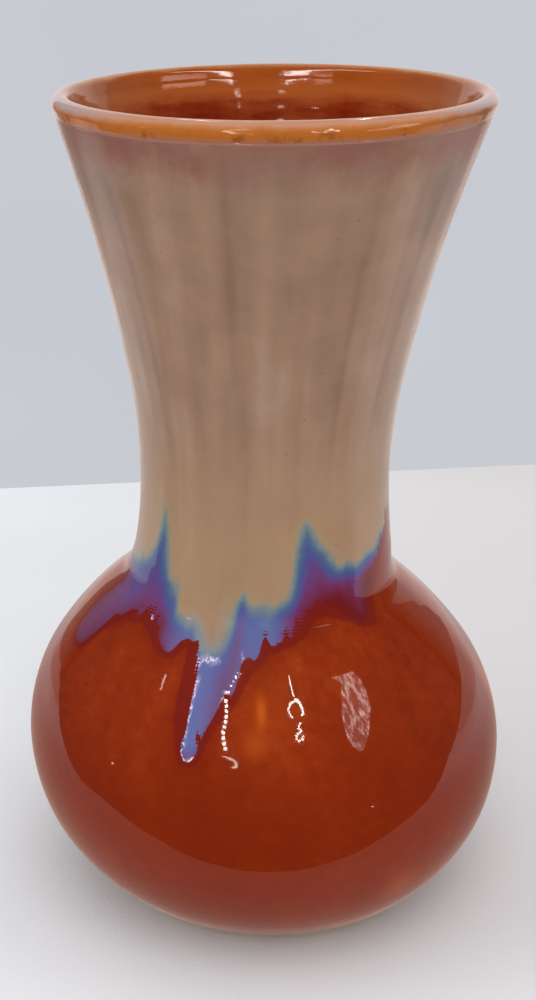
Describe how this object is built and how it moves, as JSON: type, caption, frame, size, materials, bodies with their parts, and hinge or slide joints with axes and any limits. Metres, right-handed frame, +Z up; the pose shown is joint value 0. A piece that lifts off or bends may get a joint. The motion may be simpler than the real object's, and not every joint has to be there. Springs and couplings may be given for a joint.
{
  "type": "bud vase",
  "caption": "Glazed ceramic bud vase: round bulb, narrow neck and flared mouth, with a cream top coat that runs over an amber base coat.",
  "frame": {"origin": "centre of the foot ring's resting plane", "axes": "+Z up along the vase's axis, -Y to the front, where the longest run of glaze is"},
  "size_m": [0.1084, 0.1084, 0.18],
  "materials": {
    "fired_clay": "matte",
    "amber_glaze": "gloss",
    "cream_glaze": "gloss",
    "rim_glaze": "gloss",
    "liner_glaze": "gloss"
  },
  "bodies": {
    "root": {"clay_body": "fired_clay", "amber_glaze": "amber_glaze", "cream_glaze": "cream_glaze", "rim_glaze": "rim_glaze", "liner_glaze": "liner_glaze", "foot_glaze": "amber_glaze"}
  },
  "joints": []
}
